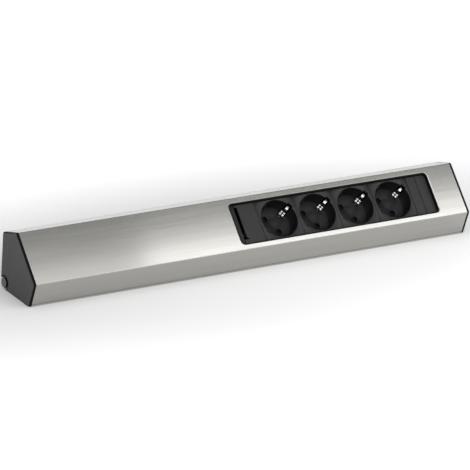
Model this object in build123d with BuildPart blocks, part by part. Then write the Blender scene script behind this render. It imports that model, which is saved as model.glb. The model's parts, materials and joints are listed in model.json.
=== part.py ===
from build123d import *
import math
import os

# Corner-mount power strip, in millimetres.
# X runs along the strip, +Y is the wall behind it, Z = 0 is the worktop below it.
# In the cross-section, "forward" is the distance from the wall plane and "height" is the distance
# above the worktop. The section is its own mirror image about the 45 degree line between the two.

# housing section
envelope = 64.0  # how far the section reaches forward, and up
shoulder = 25.4  # height of the lower edge of the main face, and its mirror image at the back
foot = 56.0  # where each flank meets its mounting plane
profile_length = 488.0
front_wall = 2.5
leg_wall = 2.2
seam = 0.3  # gap between the two profiles
crease_radius = 1.2
overcut = 1.0  # how far cuts run past the faces they start or end at

# snap joint between the profiles
hook_wall = 2.0
hook_gap = 1.4  # between a flank's rear end and its hook rib
hook_depth = 9.5  # from the flank's rear edge down to the end of the hook
hook_lip = 1.5  # thickness of the hook's lip
nib_height = 2.4
nib_reach = 1.1

# cord channel along the inner corner, and the outlets in the caps
outlet_centre = 6.9  # from both mounting planes
outlet_radius = 6.5
outlet_side = 3.0  # how far the notch's straight sides run past the outlet's centre
channel_radius = 7.2
channel_wall = 2.0
plug_radius = 5.0
plug_proud = 0.9
collar_length = 3.0
collar_play = 0.3
plane_play = 0.15  # how far plugs and glands stay off the mounting planes
stub_radius = 6.0
stub_length = 9.0
gland_bore = 4.0
entry_inset = 22.0  # from the profile's right end to the start of the cord entry
entry_length = 12.0
entry_top = 10.5  # above the worktop

# end caps
cap_plate = 2.5
cap_corner = 3.0
cap_crease = 1.4
cap_edge = 0.5
collar_wall = 1.6
collar_reach = 8.0
cap_play = 0.25

# window and row of modules in the main face
window_height = 43.8
window_corner = 4.5
window_chamfer = 0.7
window_margin = 29.8  # from the window's right end to the end of the profile
recess = 3.0  # how far the modules lie below the main face
module_gap = 0.3
module_plate = 2.0
module_chamfer = 0.4
socket_count = 4
socket_pitch = 44.0
blank_left_width = 28.75
spacer_width = 10.65
blank_right_width = 12.25

# carrier frame that lines the window
carrier_gap = 0.3
carrier_wall = 0.8
carrier_below = 0.25  # how far its rim stays below the main face
carrier_depth = 6.2
flange_width = 2.4
flange_wall = 1.5
tab_width = 3.4
tab_reach = 2.6
tab_wall = 1.2

# left blank: a lower step beside a narrow slot
step_width = 5.7
step_drop = 1.0
slot_width = 3.0
slot_length = 34.3
slot_rise = 1.15  # the slot's middle is this far above the row's middle
slot_toe = 2.0
slot_toe_height = 1.6
blank_rib = 1.2
blank_rib_depth = 3.5
blank_rib_end = 1.0  # between the rib's ends and the carrier's tabs

# socket cup
socket_turn = 35.0  # the earth contacts lie on a line turned this far up from the strip
cup_radius = 19.6
cup_wall = 1.0
cup_depth = 17.5
cup_floor = 2.0
rim_chamfer = 0.4
pin_spacing = 19.0
pin_hole = 2.75
pin_chamfer = 0.4
rib_width = 4.6
rib_height = 1.8
rib_start = 1.2
post_x = 17.0  # screw posts, along the strip from the socket's middle
post_up = 17.4  # and across it
post_radius = 2.8
pivot_radius = 1.7
pivot_length = 5.0

# earth clip: one strip, bent, mirrored across the socket
clip_width = 5.0
clip_wall = 0.6
clip_slot = 0.3  # play beside the clip in its slots
clip_slot_play = 0.8  # play before and behind it, where it passes through the floor
wall_slot = 4.0  # radial width of the slots in the cup's wall
clip_behind = 0.5  # how far its top stands behind the cup's wall
clip_slope_in = 0.1  # the other bends, measured inwards from the cup's wall
clip_bulge_in = 2.2
clip_waist_in = 0.4
clip_knee_in = 0.5
clip_foot_in = 4.2
clip_clearance = 1.0  # at least, between its legs and the pin busbars
clip_top_depth = 3.0  # the same bends, measured down from the plate
clip_neck_depth = 3.8
clip_slope_depth = 4.6
clip_bulge_depth = 6.2
clip_waist_depth = 9.8
clip_knee_rise = 3.9  # the two bends of its slanting legs, measured up from the cup's floor
clip_foot_rise = 1.1

# shutter, turned open by a plug's pins
shutter_wall = 1.8
shutter_gap = 0.4  # below the floor
shutter_hub = 4.2
shutter_bore_play = 0.06
shutter_lobe = 3.6
shutter_arm = 5.0
spring_radius = 2.75
spring_wire = 0.25
spring_pitch = 0.7
spring_turns = 3
spring_gap = 0.4

# socket base
base_gap = 0.2  # between neighbouring bases, and to the carrier
base_width = 41.0
base_wall = 1.2
base_depth = 14.0
column_radius = 3.4
screw_radius = 1.2
screw_head = 2.4
screw_head_height = 1.6
screw_length = 11.0
screw_tip = 1.0  # between a screw's tip and the end of its hole
counterbore = 2.7
counterbore_depth = 9.0

# busbars
strip_wall = 0.8
strip_offset = 4.4  # from the row's middle line
strip_height = 5.0
strip_drop = 4.5  # top edge, below the cup's floor
tulip_radius = 3.1
tulip_bore = 2.45
tulip_slit = 0.8
tulip_drop = 3.4  # mouth, below the cup's floor
tulip_length = 6.5
earth_strip_width = 6.0
bridge_drop = 10.9  # middle of the clip's bridge, below the cup's floor
busbar_tail = 10.0  # past the last socket
busbar_inset = 2.0  # the pin busbars start this far inside the first base
earth_lead = 3.0  # the earth busbar starts this far before the first base
busbar_slot_play = 0.35

# supply terminal on the worktop leg
pole_pitch = 6.3
pole_count = 3
block_inset = 41.0  # from the profile's right end to the terminal
block_forward = 30.5
block_width = 18.0
block_height = 14.0
well_forward = 5.0
clamp_outer = 2.5
clamp_inner = 1.7
clamp_length = 9.0
clamp_drop = 1.5
terminal_screw_radius = 1.2
terminal_head = 1.9
terminal_head_length = 2.2
terminal_head_inset = 1.0
terminal_slot = 0.5
wire_radius = 1.2
wire_insert = 4.0
wire_bend = 0.45  # bend radius as a share of the shorter run beside it
wire_step = 4.8  # a sideways step shorter than this is left out
wire_drop = 2.4  # over the length of a sideways step

# earth bond on the wall leg, left of the sockets
bond_inset = 26.2  # from the first socket's edge
bond_height = 24.0
lug_length = 14.0
lug_tail = 5.0  # from the bond screw to the lug's free end
lug_width = 9.0
lug_wall = 0.8
lug_barrel = 2.0
bond_radius = 2.0
bond_head = 3.8
bond_head_height = 2.4
bond_wire_run = 8.0

# cord clamp
clamp_inset = 15.0  # from the profile's right end to the clamp's middle
clamp_forward = 25.5
clamp_wide = 8.0
saddle_wall = 2.0
saddle_bore = 4.0
saddle_screw = 6.2  # from the saddle's middle to each screw
saddle_foot = 2.4
saddle_screw_radius = 1.2
saddle_head = 2.2
saddle_head_height = 1.5

# screws and fixing holes in the legs
screw_short = 0.55  # how far screws in the legs stop short of the mounting planes
fixing_hole = 2.25
fixing_inset = 16.0  # from the ends of the profile
fixing_distance = 40.0  # from the corner

os.makedirs("parts", exist_ok=True)

# worked out from the above
half_length = profile_length / 2
lean = (envelope - foot) / shoulder  # a flank's rise for each millimetre forward
rise = math.sqrt(1 + lean**2)
face_middle = (envelope + shoulder) / 2
root_half = math.sqrt(0.5)
socket_row = socket_count * socket_pitch
row_length = blank_left_width + socket_row + spacer_width + blank_right_width
lining = carrier_gap + carrier_wall
window_length = row_length + 2 * lining
window_right = half_length - window_margin
window_middle = window_right - window_length / 2
row_start = window_right - window_length + lining
sockets_start = row_start + blank_left_width
sockets_end = sockets_start + socket_row
socket_centres = [sockets_start + socket_pitch * (i + 0.5) for i in range(socket_count)]
boundaries = [sockets_start + socket_pitch * i for i in range(socket_count + 1)]
boundaries.append(sockets_end + spacer_width)
opening_height = window_height - 2 * lining
plate_height = opening_height - module_gap
blank_rib_length = plate_height - 2 * tab_reach - 2 * blank_rib_end
lip = leg_wall + seam
floor_back = cup_depth + cup_floor
cup_outer = cup_radius + cup_wall
base_top = floor_back
base_bottom = base_top + base_depth
busbar_end = sockets_end + busbar_tail
busbar_start = sockets_start + busbar_inset
earth_start = sockets_start - earth_lead
bond_x = sockets_start - bond_inset
barrel_end = bond_x + lug_length - lug_tail
block_start = half_length - block_inset
clamp_x = half_length - clamp_inset
fixing_spacing = profile_length - 2 * fixing_inset
strip_depth = floor_back + strip_drop
tulip_depth = floor_back + tulip_drop
bridge_depth = floor_back + bridge_drop
turn_along = math.cos(math.radians(socket_turn))
turn_across = math.sin(math.radians(socket_turn))
clip_knee_depth = cup_depth - clip_knee_rise
clip_foot_depth = cup_depth - clip_foot_rise
clip_corner = (clip_width * turn_along + clip_wall * turn_across) / 2
strip_clear = strip_offset + strip_wall / 2 + clip_clearance
clip_foot = max(cup_radius - clip_foot_in, (strip_clear + clip_corner) / turn_across)
post_places = ((-post_x, post_up), (post_x, -post_up))


def section_plane(x):
    # local x is forward from the wall, local y is up, the normal points to -X
    return Plane(origin=(x, wall_y, 0), x_dir=(0, -1, 0), z_dir=(-1, 0, 0))


def wall_plane(x, height, forward=0.0):
    # parallel to the wall, facing forward
    return Plane(origin=(x, wall_y - forward, height), x_dir=(1, 0, 0), z_dir=(0, -1, 0))


def slope_point(x, up, depth):
    # a point given by its place along the strip, up the main face, and below the main face
    forward = face_middle - (up + depth) * root_half
    height = face_middle + (up - depth) * root_half
    return (x, wall_y - forward, height)


def face_plane(x=0.0, depth=0.0, turn=0.0):
    # local z points out of the main face; turn = 0 puts local x along the strip
    along = math.cos(math.radians(turn))
    across = math.sin(math.radians(turn)) * root_half
    return Plane(origin=slope_point(x, 0, depth), x_dir=(along, across, across), z_dir=(0, -1, 1))


def module_plane(x, depth=0.0):
    return face_plane(x, recess + depth)


def cup_plane(x, depth=0.0):
    # local x is the line of the earth contacts, local y the line of the pins
    return face_plane(x, recess + depth, socket_turn)


def flank(forward, inset=0.0):
    # height of the upper flank, or of a line inset below it
    return foot + lean * forward - inset * rise


def crease(inset=0.0):
    # where the flank and the main face meet, both inset by the same distance
    forward = (2 * face_middle - inset * math.sqrt(2) - foot + inset * rise) / (1 + lean)
    return (forward, flank(forward, inset))


# the wall plane: half the rounded section's reach, so that the strip is centred on Y
wall_y = (crease(crease_radius)[1] + crease_radius) / 2


def both_halves(points):
    # a run of points followed by its mirror image about the 45 degree line
    return points + [(height, forward) for forward, height in reversed(points)]


def save(builder, label):
    builder.part.label = label
    export_step(builder.part, f"parts/{label}.step")
    return builder.part


def make_front_profile():
    top = flank(lip)
    hook_low = top - hook_depth
    hook_top = hook_low + hook_lip
    rib_in = lip + hook_gap
    rib_out = rib_in + hook_wall
    outer = both_halves([(lip, top), crease()])
    inner = both_halves(
        [
            (lip, flank(lip, front_wall)),
            (rib_in, flank(rib_in, front_wall)),
            (rib_in, hook_top),
            (lip, hook_top),
            (lip, hook_low),
            (rib_out, hook_low),
            (rib_out, flank(rib_out, front_wall)),
            crease(front_wall),
        ]
    )
    with BuildPart() as front_profile:
        with BuildSketch(section_plane(half_length)) as section:
            Polygon(*outer, *inner[::-1], align=None)
            corners = section.vertices().sort_by(lambda v: v.X + v.Y)[-2:]
            fillet(corners, crease_radius)
        extrude(amount=profile_length)
        with BuildSketch(face_plane(window_middle, -overcut)):
            RectangleRounded(window_length, window_height, window_corner)
        extrude(amount=-front_wall - 2 * overcut, mode=Mode.SUBTRACT)
        deck = front_profile.faces().sort_by(Axis((0, 0, 0), (0, -1, 1)))[-1]
        chamfer(deck.inner_wires()[0].edges(), window_chamfer)
    return save(front_profile, "front_profile")


def make_rear_profile():
    nib_low = flank(lip) - hook_depth + hook_lip
    nib_out = leg_wall + nib_reach
    half = [
        (0, foot),
        (leg_wall, flank(leg_wall)),
        (leg_wall, nib_low + nib_height),
        (nib_out, nib_low + nib_height / 2),
        (nib_out, nib_low),
        (leg_wall, nib_low),
    ]
    mirrored = [(height, forward) for forward, height in reversed(half)]
    with BuildPart() as rear_profile:
        with BuildSketch(section_plane(half_length)):
            Polygon((0, 0), *half, (leg_wall, leg_wall), *mirrored, align=None)
            with Locations((outlet_centre, outlet_centre)):
                Circle(channel_radius + channel_wall)
            Rectangle(envelope, envelope, align=Align.MIN, mode=Mode.INTERSECT)
            with Locations((outlet_centre, outlet_centre)):
                Circle(channel_radius, mode=Mode.SUBTRACT)
            reach = outlet_centre + outlet_side
            Rectangle(reach, outlet_centre, align=Align.MIN, mode=Mode.SUBTRACT)
            Rectangle(outlet_centre, reach, align=Align.MIN, mode=Mode.SUBTRACT)
        extrude(amount=profile_length)
        # fixing holes through the wall leg, then through the worktop leg
        with BuildSketch(wall_plane(0, fixing_distance)):
            with GridLocations(fixing_spacing, 0, 2, 1):
                Circle(fixing_hole)
        extrude(amount=leg_wall, mode=Mode.SUBTRACT)
        with BuildSketch(Plane.XY):
            with Locations((0, wall_y - fixing_distance)):
                with GridLocations(fixing_spacing, 0, 2, 1):
                    Circle(fixing_hole)
        extrude(amount=leg_wall, mode=Mode.SUBTRACT)
        # cord entry from the channel, between the channel's crown and the worktop leg
        reach = channel_radius + channel_wall + overcut
        with BuildSketch(Plane.XY.offset(leg_wall)):
            with Locations((half_length - entry_inset, wall_y - outlet_centre)):
                Rectangle(entry_length, reach, align=(Align.MIN, Align.MAX))
        extrude(amount=entry_top - leg_wall, mode=Mode.SUBTRACT)
        # bond screw in the wall leg, clamp screws in the worktop leg
        with BuildSketch(wall_plane(bond_x, bond_height)):
            Circle(bond_radius)
        extrude(amount=leg_wall, mode=Mode.SUBTRACT)
        with BuildSketch(Plane.XY):
            with Locations((clamp_x, wall_y - clamp_forward)):
                with GridLocations(0, 2 * saddle_screw, 1, 2):
                    Circle(saddle_screw_radius)
        extrude(amount=leg_wall, mode=Mode.SUBTRACT)
    return save(rear_profile, "rear_profile")


def outlet_notch(radius):
    # round outlet in the inner corner, open to the room's corner; used inside a sketch
    with Locations((outlet_centre, outlet_centre)):
        Circle(radius, mode=Mode.SUBTRACT)
    reach = outlet_centre + outlet_side
    Rectangle(reach, outlet_centre, align=Align.MIN, mode=Mode.SUBTRACT)
    Rectangle(outlet_centre, reach, align=Align.MIN, mode=Mode.SUBTRACT)


def make_end_cap(label, side):
    rib_out = lip + hook_gap + hook_wall + cap_play
    hook_low = flank(lip) - hook_depth - cap_play
    leg_face = leg_wall + cap_play
    chord = 2 * outlet_centre + (channel_radius + channel_wall + cap_play) * math.sqrt(2)
    collar = both_halves(
        [
            (leg_face, chord - leg_face),
            (leg_face, hook_low),
            (rib_out, hook_low),
            (rib_out, flank(rib_out, front_wall + cap_play)),
            crease(front_wall + cap_play),
        ]
    )
    with BuildPart() as end_cap:
        with BuildSketch(section_plane(side * half_length)) as plate:
            Polygon((0, 0), (0, foot), crease(), crease()[::-1], (foot, 0), align=None)
            feet = plate.vertices().sort_by(lambda v: abs(v.X - v.Y))[-2:]
            fillet(feet, cap_corner)
            creases = plate.vertices().sort_by(lambda v: v.X + v.Y)[-2:]
            fillet(creases, cap_crease)
            outlet_notch(outlet_radius)
        extrude(amount=-side * cap_plate)
        outer_face = end_cap.faces().sort_by(Axis.X)[-1 if side > 0 else 0]
        fillet(outer_face.edges(), cap_edge)
        with BuildSketch(section_plane(side * half_length)):
            Polygon(*collar, align=None)
            offset(amount=-collar_wall, kind=Kind.INTERSECTION, mode=Mode.SUBTRACT)
        extrude(amount=side * collar_reach)
    return save(end_cap, label)


def make_outlet_fitting(label, side, bore):
    # plug or gland: a round head in the cap's notch, a collar behind the cap, a stub in the channel
    centre = (outlet_centre, outlet_centre)
    collar_end = side * (half_length - collar_length)
    with BuildPart() as fitting:
        with BuildSketch(section_plane(side * (half_length + cap_plate + plug_proud))):
            with Locations(centre):
                Circle(plug_radius)
        extrude(amount=side * (cap_plate + plug_proud + collar_length))
        with BuildSketch(section_plane(side * half_length)):
            with Locations(centre):
                Circle(channel_radius - collar_play)
            with Locations((plane_play, plane_play)):
                Rectangle(envelope, envelope, align=Align.MIN, mode=Mode.INTERSECT)
        extrude(amount=side * collar_length)
        with BuildSketch(section_plane(collar_end)):
            with Locations(centre):
                Circle(stub_radius)
        extrude(amount=side * stub_length)
        head = fitting.faces().sort_by(Axis.X)[-1 if side > 0 else 0]
        fillet(head.edges(), cap_edge)
        if bore:
            with BuildSketch(section_plane(side * (half_length + cap_plate + plug_proud))):
                with Locations(centre):
                    Circle(bore)
            extrude(
                amount=side * (cap_plate + plug_proud + collar_length + stub_length),
                mode=Mode.SUBTRACT,
            )
    return save(fitting, label)


def make_module_carrier():
    outer_length = window_length - 2 * carrier_gap
    outer_height = window_height - 2 * carrier_gap
    outer_corner = window_corner - carrier_gap
    inner_corner = outer_corner - carrier_wall
    tab_height = opening_height / 2 - tab_reach / 2
    with BuildPart() as module_carrier:
        with BuildSketch(face_plane(window_middle, carrier_below)):
            RectangleRounded(outer_length, outer_height, outer_corner)
            RectangleRounded(row_length, opening_height, inner_corner, mode=Mode.SUBTRACT)
        extrude(amount=carrier_below - carrier_depth)
        with BuildSketch(face_plane(window_middle, front_wall)):
            RectangleRounded(
                window_length + 2 * flange_width, window_height + 2 * flange_width, window_corner
            )
            RectangleRounded(row_length, opening_height, inner_corner, mode=Mode.SUBTRACT)
        extrude(amount=-flange_wall)
        with BuildSketch(module_plane(0, module_plate)):
            places = [row_start + tab_width / 2, *boundaries, row_start + row_length - tab_width / 2]
            with Locations([(x, side * tab_height) for x in places for side in (-1, 1)]):
                Rectangle(tab_width, tab_reach)
        extrude(amount=-tab_wall)
    return save(module_carrier, "module_carrier")


def module_outline(sketch, start, width, round_end=None):
    # outline of one plate; the plate at an end of the row has two rounded corners there
    low = start + module_gap / 2
    high = start + width - module_gap / 2
    with Locations(((low + high) / 2, 0)):
        Rectangle(high - low, plate_height)
    if round_end is not None:
        fillet(sketch.vertices().group_by(Axis.X)[round_end], window_corner - lining)


def chamfer_front(builder):
    front = builder.faces().sort_by(Axis((0, 0, 0), (0, -1, 1)))[-1]
    chamfer(front.outer_wire().edges(), module_chamfer)


def make_blank(label, start, width, round_end=None):
    with BuildPart() as blank:
        with BuildSketch(module_plane(0)) as outline:
            module_outline(outline, start, width, round_end)
        extrude(amount=-module_plate)
        chamfer_front(blank)
        with BuildSketch(module_plane(start + width / 2, module_plate)):
            Rectangle(blank_rib, blank_rib_length)
        extrude(amount=-blank_rib_depth)
    return save(blank, label)


def make_blank_left():
    slot_right = row_start + step_width + slot_width
    with BuildPart() as blank_left:
        with BuildSketch(module_plane(0)) as outline:
            module_outline(outline, row_start, blank_left_width, round_end=0)
        extrude(amount=-module_plate)
        chamfer_front(blank_left)
        # lower step along the left end
        with BuildSketch(module_plane(row_start, -overcut)):
            Rectangle(step_width, opening_height, align=(Align.MIN, Align.CENTER))
        extrude(amount=-step_drop - overcut, mode=Mode.SUBTRACT)
        # narrow slot with a short toe at its lower end
        with BuildSketch(module_plane(0, -overcut)):
            with Locations((row_start + step_width, slot_rise)):
                Rectangle(slot_width, slot_length, align=(Align.MIN, Align.CENTER))
            with Locations((slot_right, slot_rise - slot_length / 2)):
                Rectangle(slot_toe, slot_toe_height, align=Align.MIN)
        extrude(amount=-module_plate - 2 * overcut, mode=Mode.SUBTRACT)
        with BuildSketch(module_plane((slot_right + sockets_start) / 2, module_plate)):
            Rectangle(blank_rib, blank_rib_length)
        extrude(amount=-blank_rib_depth)
    return save(blank_left, "blank_module_left")


def make_socket(index, x):
    post_length = floor_back - module_plate
    with BuildPart() as socket:
        with BuildSketch(module_plane(0)) as outline:
            module_outline(outline, x - socket_pitch / 2, socket_pitch)
        extrude(amount=-module_plate)
        chamfer_front(socket)
        with BuildSketch(module_plane(x, module_plate)):
            Circle(cup_outer)
        extrude(amount=-post_length)
        with BuildSketch(module_plane(x, module_plate)):
            with Locations(*post_places):
                Circle(post_radius)
        extrude(amount=-post_length)
        with BuildSketch(module_plane(x)):
            Circle(cup_radius)
        extrude(amount=-cup_depth, mode=Mode.SUBTRACT)
        front = socket.faces().sort_by(Axis((0, 0, 0), (0, -1, 1)))[-1]
        chamfer(front.inner_wires()[0].edges(), rim_chamfer)
        # guide ribs on the line of the pins, with sloped tops
        with BuildSketch(cup_plane(x, rib_start)):
            Circle(cup_radius + cup_wall / 2)
            Circle(cup_radius - rib_height, mode=Mode.SUBTRACT)
            Rectangle(rib_width, 2 * cup_outer, mode=Mode.INTERSECT)
        extrude(amount=rib_start - cup_depth)
        # pin holes and their lead-in
        with BuildSketch(cup_plane(x, cup_depth)):
            with GridLocations(0, pin_spacing, 1, 2):
                Circle(pin_hole)
        extrude(amount=-cup_floor, mode=Mode.SUBTRACT)
        with BuildSketch(cup_plane(x, cup_depth)):
            with GridLocations(0, pin_spacing, 1, 2):
                Circle(pin_hole + pin_chamfer)
        extrude(amount=-pin_chamfer, taper=45, mode=Mode.SUBTRACT)
        # slots for the earth clip: through the floor, and through the wall from the rim down
        clip_room = clip_width + 2 * clip_slot
        with BuildSketch(cup_plane(x, cup_depth - overcut)):
            with GridLocations(2 * clip_foot, 0, 2, 1):
                Rectangle(clip_wall + 2 * clip_slot_play, clip_room)
        extrude(amount=-cup_floor - overcut, mode=Mode.SUBTRACT)
        with BuildSketch(cup_plane(x, -overcut)):
            with GridLocations(2 * cup_radius, 0, 2, 1):
                Rectangle(wall_slot, clip_room)
        extrude(amount=-overcut - clip_knee_depth - clip_wall, mode=Mode.SUBTRACT)
        # pivot post for the shutter, and pilot holes in the posts
        with BuildSketch(cup_plane(x, floor_back)):
            Circle(pivot_radius)
        extrude(amount=-pivot_length)
        with BuildSketch(module_plane(x, floor_back)):
            with Locations(*post_places):
                Circle(screw_radius)
        extrude(amount=screw_length, mode=Mode.SUBTRACT)
    return save(socket, f"socket_{index}")


def clip_side():
    # one side of the strip as (radius, depth), from its top down to the bridge
    return [
        (cup_radius + clip_behind, clip_top_depth),
        (cup_radius + clip_behind, clip_neck_depth),
        (cup_radius - clip_slope_in, clip_slope_depth),
        (cup_radius - clip_bulge_in, clip_bulge_depth),
        (cup_radius - clip_waist_in, clip_waist_depth),
        (cup_radius - clip_knee_in, clip_knee_depth),
        (clip_foot, clip_foot_depth),
        (clip_foot, bridge_depth + clip_wall / 2),
    ]


def make_earth_clip(index, x):
    right = [(radius, -depth) for radius, depth in clip_side()]
    left = [(-radius, up) for radius, up in right]
    path = left + right[::-1]
    middle = cup_plane(x)
    across = Plane(origin=middle.origin, x_dir=middle.x_dir, z_dir=-middle.y_dir)
    with BuildPart() as earth_clip:
        with BuildSketch(across):
            with BuildLine():
                Polyline(*path)
            trace(line_width=clip_wall)
        extrude(amount=clip_width / 2, both=True)
    return save(earth_clip, f"earth_clip_{index}")


def make_shutter(index, x):
    top = floor_back + shutter_gap
    with BuildPart() as shutter:
        with BuildSketch(cup_plane(x, top)):
            Circle(shutter_hub)
            Rectangle(shutter_arm, pin_spacing)
            with GridLocations(0, pin_spacing, 1, 2):
                Circle(shutter_lobe)
            Circle(pivot_radius + shutter_bore_play, mode=Mode.SUBTRACT)
        extrude(amount=-shutter_wall)
    return save(shutter, f"shutter_{index}")


def make_shutter_spring(index, x):
    top = floor_back + shutter_gap + shutter_wall + spring_gap + spring_wire
    height = spring_pitch * spring_turns
    start = cup_plane(x, top + height)
    with BuildPart() as shutter_spring:
        with BuildLine() as coil:
            Helix(spring_pitch, height, spring_radius, center=start.origin, direction=start.z_dir)
        with BuildSketch(Plane(origin=coil.line @ 0, z_dir=coil.line % 0)):
            Circle(spring_wire)
        sweep(path=coil.line)
    return save(shutter_spring, f"shutter_spring_{index}")


def make_socket_base(index, x):
    width = socket_pitch - 2 * base_gap
    inner_width = width - 2 * base_wall
    inner_height = base_width - 2 * base_wall
    slot = strip_wall + 2 * busbar_slot_play
    with BuildPart() as socket_base:
        with BuildSketch(module_plane(x, base_top)):
            Rectangle(width, base_width)
        extrude(amount=-base_depth)
        with BuildSketch(module_plane(x, base_top)):
            Rectangle(inner_width, inner_height)
            with Locations(*post_places):
                Circle(column_radius, mode=Mode.SUBTRACT)
        extrude(amount=base_wall - base_depth, mode=Mode.SUBTRACT)
        # slots for the three busbars in both end walls
        with BuildSketch(module_plane(x, strip_depth - busbar_slot_play)):
            with GridLocations(0, 2 * strip_offset, 1, 2):
                Rectangle(width, slot)
        extrude(amount=-strip_height - 2 * busbar_slot_play, mode=Mode.SUBTRACT)
        with BuildSketch(module_plane(x, bridge_depth + clip_wall - busbar_slot_play)):
            Rectangle(width, earth_strip_width + 2 * busbar_slot_play)
        extrude(amount=-slot, mode=Mode.SUBTRACT)
        # screw holes with deep counterbores
        with BuildSketch(module_plane(x, base_top)):
            with Locations(*post_places):
                Circle(screw_radius)
        extrude(amount=-base_depth, mode=Mode.SUBTRACT)
        with BuildSketch(module_plane(x, base_bottom)):
            with Locations(*post_places):
                Circle(counterbore)
        extrude(amount=counterbore_depth, mode=Mode.SUBTRACT)
    return save(socket_base, f"socket_base_{index}")


def make_module_screws():
    # two in each socket base
    seat = base_bottom - counterbore_depth
    shank = seat - floor_back + screw_length - screw_tip
    with BuildPart() as module_screws:
        for x in socket_centres:
            with BuildSketch(module_plane(x, seat)):
                with Locations(*post_places):
                    Circle(screw_radius)
            extrude(amount=shank)
            with BuildSketch(module_plane(x, seat)):
                with Locations(*post_places):
                    Circle(screw_head)
            extrude(amount=-screw_head_height)
            with BuildSketch(module_plane(x, seat + screw_head_height)):
                with Locations(*post_places):
                    Rectangle(screw_head, terminal_slot)
                    Rectangle(terminal_slot, screw_head)
            extrude(amount=screw_head_height / 2, mode=Mode.SUBTRACT)
    return save(module_screws, "module_screws")


def make_pin_busbar(label, side):
    # upright strip with one split sleeve for each socket; side 1 lies towards the upper flank
    length = busbar_end - busbar_start
    with BuildPart() as busbar:
        with BuildSketch(module_plane((busbar_start + busbar_end) / 2, strip_depth)):
            with Locations((0, side * strip_offset)):
                Rectangle(length, strip_wall)
        extrude(amount=-strip_height)
        for x in socket_centres:
            with BuildSketch(cup_plane(x, tulip_depth)):
                with Locations((0, side * pin_spacing / 2)):
                    Circle(tulip_radius)
            extrude(amount=-tulip_length)
        for x in socket_centres:
            with BuildSketch(cup_plane(x, tulip_depth)):
                with Locations((0, side * pin_spacing / 2)):
                    Circle(tulip_bore)
                with Locations((0, side * (pin_spacing / 2 + tulip_radius))):
                    Rectangle(tulip_slit, 2 * tulip_radius)
            extrude(amount=-tulip_length, mode=Mode.SUBTRACT)
    return save(busbar, label)


def make_earth_busbar():
    middle = (earth_start + busbar_end) / 2
    with BuildPart() as busbar_earth:
        with BuildSketch(module_plane(middle, bridge_depth + clip_wall)):
            Rectangle(busbar_end - earth_start, earth_strip_width)
        extrude(amount=-strip_wall)
    return save(busbar_earth, "busbar_earth")


def pole_places():
    first = block_start + pole_pitch / 2
    return [first + pole_pitch * i for i in range(pole_count)]


def block_top():
    return leg_wall + block_height


def wire_forward():
    # the wires go down into the terminal at this distance from the wall
    return block_forward - block_width / 2 + well_forward


def screw_height():
    return block_top() - clamp_drop - clamp_length / 2


def make_terminal_block():
    length = pole_pitch * pole_count
    middle = (block_start + length / 2, wall_y - block_forward)
    wells = [(x, wall_y - wire_forward()) for x in pole_places()]
    with BuildPart() as terminal_block:
        with BuildSketch(Plane.XY.offset(leg_wall)):
            with Locations(middle):
                Rectangle(length, block_width)
        extrude(amount=block_height)
        with BuildSketch(Plane.XY.offset(block_top())):
            with Locations(wells):
                Circle(clamp_outer)
        extrude(amount=-clamp_drop - clamp_length, mode=Mode.SUBTRACT)
        with BuildSketch(wall_plane(0, screw_height(), block_forward + block_width / 2)):
            with Locations([(x, 0) for x in pole_places()]):
                Circle(terminal_head + seam)
        extrude(amount=-block_width + well_forward, mode=Mode.SUBTRACT)
    return save(terminal_block, "terminal_block")


def make_terminal_clamps():
    wells = [(x, wall_y - wire_forward()) for x in pole_places()]
    with BuildPart() as terminal_clamps:
        with BuildSketch(Plane.XY.offset(block_top() - clamp_drop)):
            with Locations(wells):
                Circle(clamp_outer)
                Circle(clamp_inner, mode=Mode.SUBTRACT)
        extrude(amount=-clamp_length)
        with BuildSketch(wall_plane(0, screw_height(), wire_forward())):
            with Locations([(x, 0) for x in pole_places()]):
                Circle(terminal_screw_radius)
        extrude(amount=clamp_outer, mode=Mode.SUBTRACT)
    return save(terminal_clamps, "terminal_clamps")


def make_terminal_screws():
    tip = wire_forward() + wire_radius + seam
    head_end = block_forward + block_width / 2 - terminal_head_inset
    head_start = head_end - terminal_head_length
    with BuildPart() as terminal_screws:
        for x in pole_places():
            with BuildSketch(wall_plane(x, screw_height(), tip)):
                Circle(terminal_screw_radius)
            extrude(amount=head_end - tip)
            with BuildSketch(wall_plane(x, screw_height(), head_start)):
                Circle(terminal_head)
            extrude(amount=terminal_head_length)
            with BuildSketch(wall_plane(x, screw_height(), head_end)):
                Rectangle(2 * terminal_head, terminal_slot)
            extrude(amount=-terminal_head_length / 2, mode=Mode.SUBTRACT)
    return save(terminal_screws, "terminal_screws")


def bend_radius(points, i):
    # as large as the two runs beside the corner allow
    into = Vector(*points[i]) - Vector(*points[i - 1])
    out = Vector(*points[i + 1]) - Vector(*points[i])
    turn = math.radians(into.get_angle(out))
    return wire_bend * min(into.length, out.length) / math.tan(turn / 2)


def make_wire(label, points):
    with BuildPart() as wire:
        with BuildLine() as route:
            radii = [bend_radius(points, i) for i in range(1, len(points) - 1)]
            FilletPolyline(*points, radius=radii)
        with BuildSketch(Plane(origin=route.line @ 0, z_dir=route.line % 0)):
            Circle(wire_radius)
        sweep(path=route.line)
    return save(wire, label)


def supply_wire(label, up, depth, pole):
    # from a busbar's right end along the strip, over, and down into one pole
    start = slope_point(busbar_end, up, depth)
    x = pole_places()[pole]
    entry = wall_y - wire_forward()
    points = [start, (x, start[1], start[2])]
    if abs(entry - start[1]) > wire_step:
        points.append((x, entry, start[2] - wire_drop))
    else:
        points[1] = (x, entry, start[2])
        points[0] = (busbar_end, entry, start[2])
    points.append((x, entry, block_top() - clamp_drop - wire_insert))
    return make_wire(label, points)


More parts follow.
